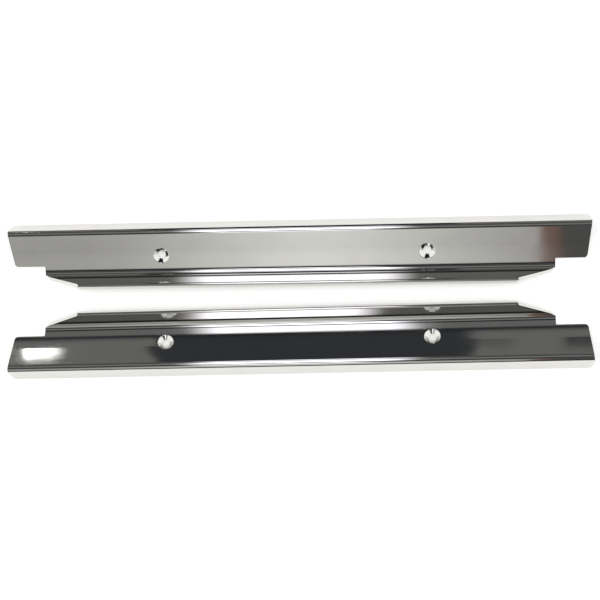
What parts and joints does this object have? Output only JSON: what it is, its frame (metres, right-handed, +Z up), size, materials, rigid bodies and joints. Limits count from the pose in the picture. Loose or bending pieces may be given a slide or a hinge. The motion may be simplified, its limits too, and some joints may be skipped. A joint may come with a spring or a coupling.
{
  "type": "running board cover",
  "caption": "Matched polished sheet-metal running board covers, each a flat tread with end tabs, a turned-down outer flange, a lipped inner riser and countersunk screw dimples.",
  "frame": {"origin": "middle of the pair, on the level surface the boards lie on", "axes": "+X along the boards, +Y from the right board towards the left board, +Z up from the surface they lie on"},
  "size_m": [0.61, 0.1642, 0.0179],
  "materials": {
    "polished_stainless": "mirror-polished stainless sheet, faintly warmer than plated chrome"
  },
  "bodies": {
    "root": {"right_board": "polished_stainless", "left_board": "polished_stainless"}
  },
  "joints": []
}
